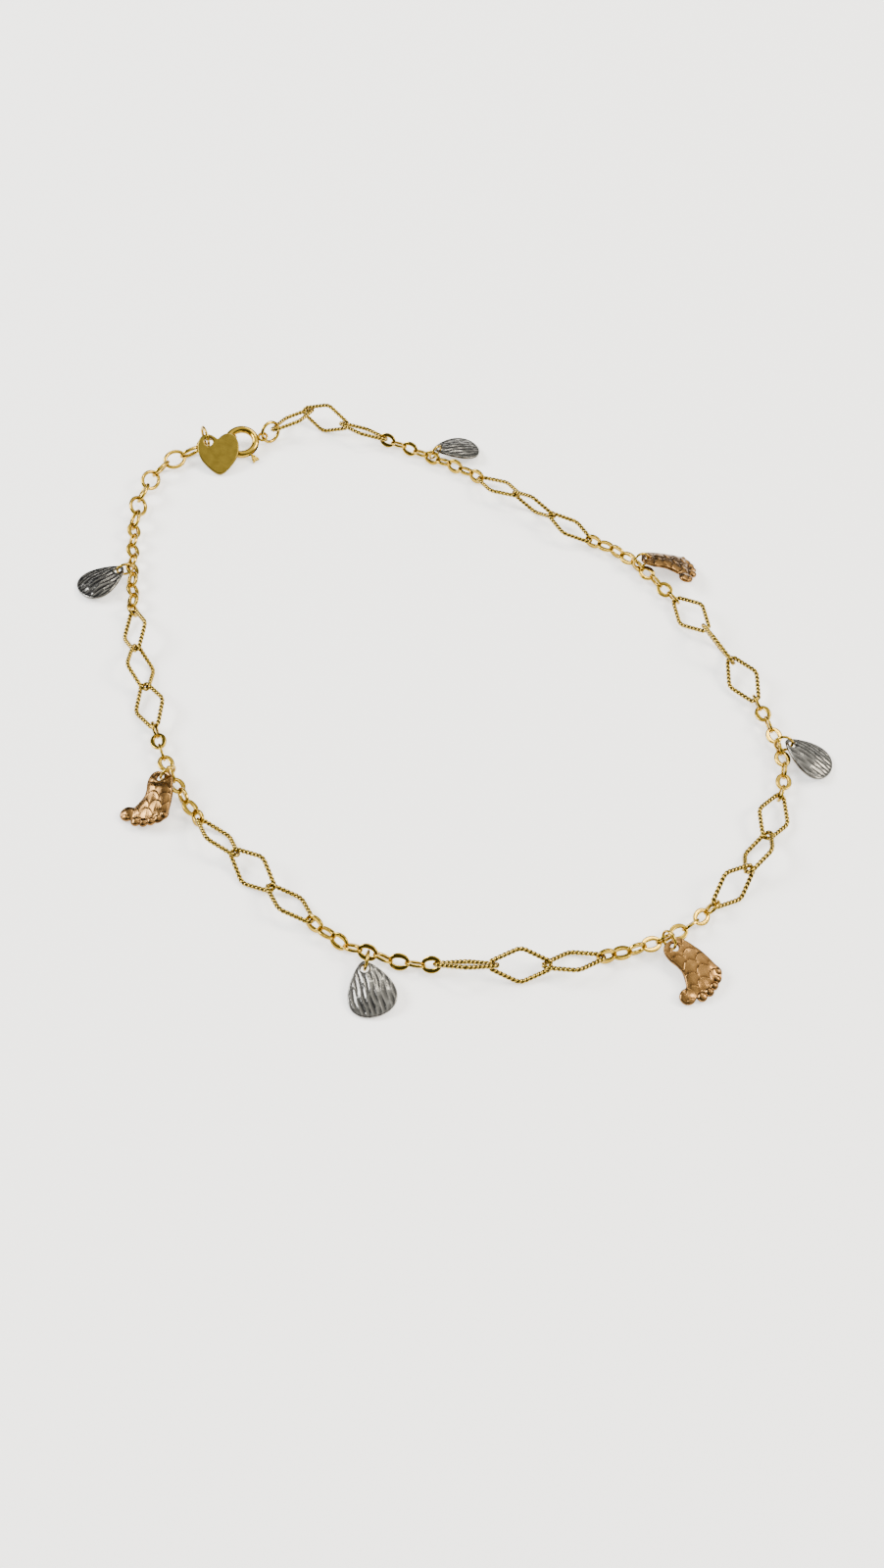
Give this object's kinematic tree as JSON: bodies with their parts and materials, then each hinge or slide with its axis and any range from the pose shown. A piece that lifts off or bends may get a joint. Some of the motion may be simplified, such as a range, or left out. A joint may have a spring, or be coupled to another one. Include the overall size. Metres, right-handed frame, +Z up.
{
  "type": "charm anklet",
  "caption": "Ankle chain of long pointed and short oval links with drop and footprint charms, a heart tag and a spring ring clasp, lying closed in a loop.",
  "frame": {"origin": "middle of the anklet's footprint, on the surface that it lies on", "axes": "+Z up from the surface; +X to the right and +Y away from the viewer, as the picture shows the anklet"},
  "size_m": [0.0854, 0.0844, 0.0034],
  "materials": {
    "yellow_gold": "polished yellow gold, diamond cut",
    "white_gold": "white gold with fine diamond cut lines",
    "rose_gold": "rose gold with diamond cut ridges"
  },
  "bodies": {
    "anklet": {"clasp_ring": "yellow_gold", "clasp_jump_ring": "yellow_gold", "lozenge_link_01": "yellow_gold", "lozenge_link_02": "yellow_gold", "lozenge_link_03": "yellow_gold", "lozenge_link_04": "yellow_gold", "lozenge_link_05": "yellow_gold", "lozenge_link_06": "yellow_gold", "lozenge_link_07": "yellow_gold", "lozenge_link_08": "yellow_gold", "lozenge_link_09": "yellow_gold", "lozenge_link_10": "yellow_gold", "lozenge_link_11": "yellow_gold", "lozenge_link_12": "yellow_gold", "lozenge_link_13": "yellow_gold", "lozenge_link_14": "yellow_gold", "lozenge_link_15": "yellow_gold", "lozenge_link_16": "yellow_gold", "lozenge_link_17": "yellow_gold", "lozenge_link_18": "yellow_gold", "lozenge_link_19": "yellow_gold", "lozenge_link_20": "yellow_gold", "lozenge_link_21": "yellow_gold", "oval_run_1": "yellow_gold", "oval_run_2": "yellow_gold", "oval_run_3": "yellow_gold", "oval_run_4": "yellow_gold", "oval_run_5": "yellow_gold", "oval_run_6": "yellow_gold", "oval_run_7": "yellow_gold", "extender_chain": "yellow_gold", "drop_charm_1": "white_gold", "foot_charm_2": "rose_gold", "drop_charm_3": "white_gold", "foot_charm_4": "rose_gold", "drop_charm_5": "white_gold", "foot_charm_6": "rose_gold", "drop_charm_7": "white_gold", "charm_ring_1": "yellow_gold", "charm_ring_2": "yellow_gold", "charm_ring_3": "yellow_gold", "charm_ring_4": "yellow_gold", "charm_ring_5": "yellow_gold", "charm_ring_6": "yellow_gold", "charm_ring_7": "yellow_gold", "heart_tag": "yellow_gold", "heart_ring": "yellow_gold"},
    "bolt": {"clasp_bolt": "yellow_gold"}
  },
  "joints": [
    {"name": "clasp_lever", "type": "hinge", "parent": "anklet", "child": "bolt", "pos_m": [-0.02697, 0.03573, 0.00102], "axis": [0, -0.309, 0.9511], "range_deg": [0, 45], "stiffness_Nm_per_rad": 0.00001, "springref_deg": -17.19}
  ]
}
